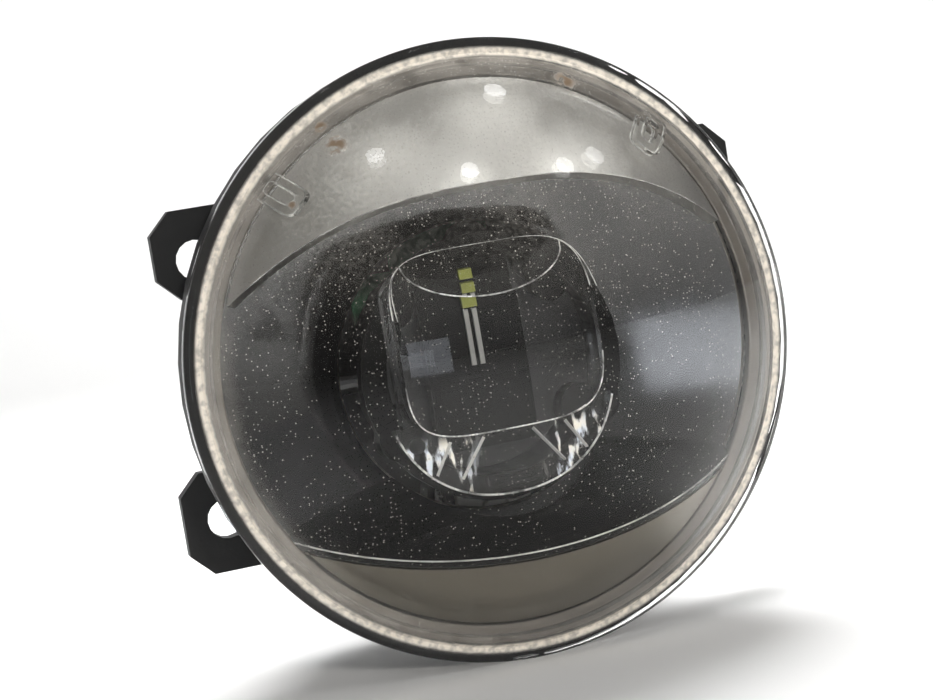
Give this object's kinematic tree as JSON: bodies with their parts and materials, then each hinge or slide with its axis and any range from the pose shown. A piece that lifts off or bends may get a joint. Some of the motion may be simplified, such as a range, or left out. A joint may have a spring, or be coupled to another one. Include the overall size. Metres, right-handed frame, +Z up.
{
  "type": "fog light",
  "caption": "Round LED fog light with a domed clear lens, a black housing with bolt ears and an optic module that tilts for aiming.",
  "frame": {"origin": "on the lens axis, in the plane of the upper ears' front faces", "axes": "the lamp shines along -Y, +X is to the right of someone who faces the lens, +Z is up"},
  "size_m": [0.1002, 0.0876, 0.098],
  "materials": {
    "clear_lens": "clear, dusty",
    "black_rubber": "matte",
    "black_housing": "fine moulded grain",
    "dark_metal": "dark vacuum metallised",
    "satin_metal": "satin vacuum metallised",
    "gloss_black": "gloss black",
    "clear_optic": "polished clear",
    "shroud_black": "semi-gloss black",
    "board_black": "solder mask",
    "board_green": "solder mask",
    "phosphor": "phosphor coat",
    "strip_white": "white",
    "pad_grey": "matte",
    "cast_aluminium": "die cast, black coated",
    "steel": "zinc plated",
    "nylon": "natural nylon",
    "wire_red": "wire sleeve",
    "wire_black": "wire sleeve",
    "connector_black": "moulded",
    "terminal_brass": "bare",
    "membrane_white": "membrane"
  },
  "bodies": {
    "housing": {"housing": "black_housing", "outer_lens": "clear_lens", "lens_seal": "black_rubber", "bezel_bowl": "dark_metal", "bezel_brow": "satin_metal", "bezel_chin": "satin_metal", "bezel_shelf": "gloss_black", "pivot_bush_left": "nylon", "pivot_bush_right": "nylon", "aim_screw_o_ring": "black_rubber", "driver_board": "board_green", "driver_choke": "board_black", "driver_chip": "board_black", "connector_socket": "connector_black", "terminal_left": "terminal_brass", "terminal_right": "terminal_brass", "vent_cap": "black_rubber", "vent_membrane": "membrane_white"},
    "optic_module": {"inner_optic": "clear_optic", "optic_shroud": "shroud_black", "led_board": "board_black", "led_chip_upper": "phosphor", "led_chip_lower": "phosphor", "lead_strip_left": "strip_white", "lead_strip_right": "strip_white", "thermal_pad": "pad_grey", "heat_sink": "cast_aluminium", "shroud_screw_1": "steel", "shroud_screw_2": "steel", "shroud_screw_3": "steel", "shroud_screw_4": "steel", "pivot_pin_left": "steel", "pivot_pin_right": "steel", "lead_wire_left": "wire_red", "lead_wire_right": "wire_black"},
    "aim_screw": {"aim_screw": "nylon", "aim_screw_clip": "steel"},
    "aim_nut": {"aim_nut": "nylon"}
  },
  "joints": [
    {"name": "module_tilt", "type": "hinge", "parent": "housing", "child": "optic_module", "pos_m": [0, 0.0061, -0.0025], "axis": [1, 0, 0], "range_deg": [-3, 3]},
    {"name": "aim_screw_turn", "type": "hinge", "parent": "housing", "child": "aim_screw", "pos_m": [0, 0.034, -0.0275], "axis": [0, 1, 0], "range_deg": [-240, 240]},
    {"name": "aim_nut_slide", "type": "slide", "parent": "housing", "child": "aim_nut", "axis": [0, 1, 0], "range_m": [-0.00135, 0.00135]}
  ],
  "couplings": [
    {"joint": "aim_screw_turn", "follows": "module_tilt", "ratio": -78.54},
    {"joint": "aim_nut_slide", "follows": "module_tilt", "m_per_rad": 0.025}
  ]
}
